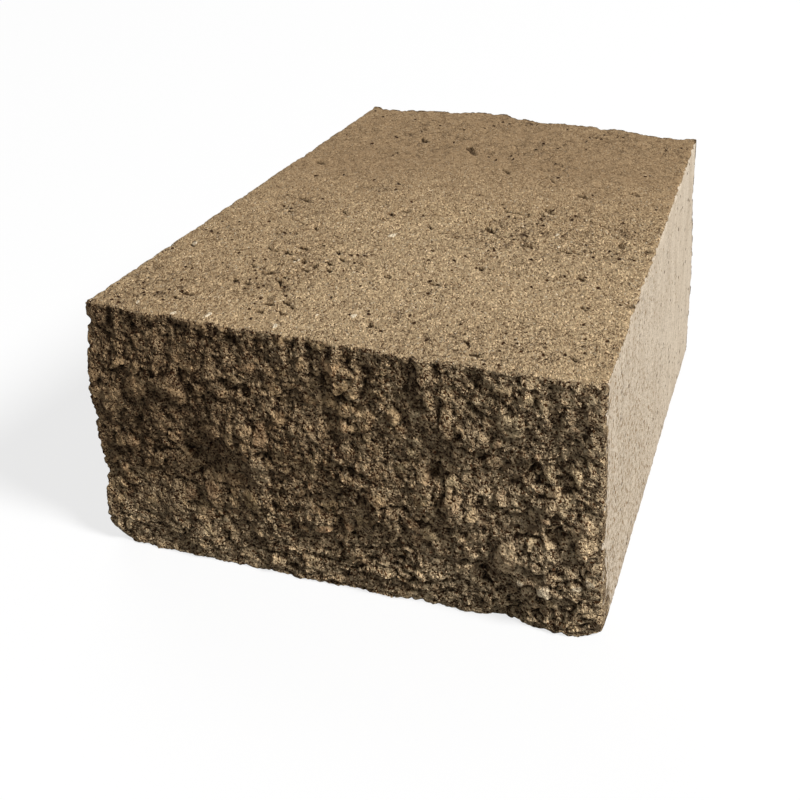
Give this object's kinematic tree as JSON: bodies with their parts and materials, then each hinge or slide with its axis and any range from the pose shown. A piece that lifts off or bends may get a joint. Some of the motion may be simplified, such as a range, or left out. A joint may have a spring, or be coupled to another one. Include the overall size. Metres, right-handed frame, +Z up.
{
  "type": "garden wall block",
  "caption": "Solid tapered concrete block for low garden walls, with a rough split face, flat top and bed, smooth moulded side walls and a rough tail.",
  "frame": {"origin": "on the bed, under the middle of the block, halfway between the split face and the tail", "axes": "+X to the right along the face seen from the front, +Y back into the wall, +Z up; the split face looks along -Y"},
  "size_m": [0.1975, 0.2268, 0.102],
  "materials": {
    "split_face_concrete": "matt dry-pressed concrete in a tan brown, sandy and open-grained, coarse where it is split"
  },
  "bodies": {
    "root": {"wall_block": "split_face_concrete"}
  },
  "joints": []
}
